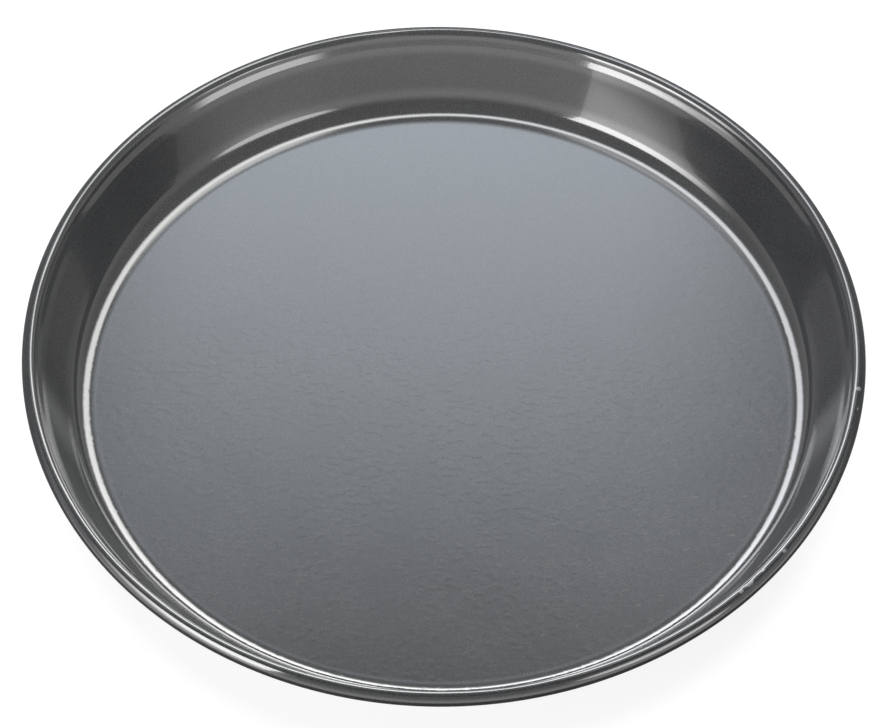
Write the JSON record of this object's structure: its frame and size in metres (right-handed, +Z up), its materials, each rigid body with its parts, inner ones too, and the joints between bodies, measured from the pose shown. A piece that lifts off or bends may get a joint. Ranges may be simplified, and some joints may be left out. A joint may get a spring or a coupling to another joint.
{
  "type": "pizza pan",
  "caption": "Round enamelled steel pizza pan with a flat floor, a low flared wall and an open rolled rim, for baking a pizza in an oven.",
  "frame": {"origin": "centre of the underside, on the surface that the pan stands on", "axes": "+Z up along the pan's axis of revolution, from the underside to the rim; +Y away from the viewer of the picture and +X to the right"},
  "size_m": [0.3498, 0.3498, 0.033],
  "materials": {
    "steel": "bare cold-rolled sheet, seen only at the cut edge inside the curl of the rim",
    "enamel": "glossy dark grey vitreous enamel with a fine orange peel"
  },
  "bodies": {
    "root": {"steel_pan": "steel", "enamel_inside": "enamel", "enamel_outside": "enamel"}
  },
  "joints": []
}
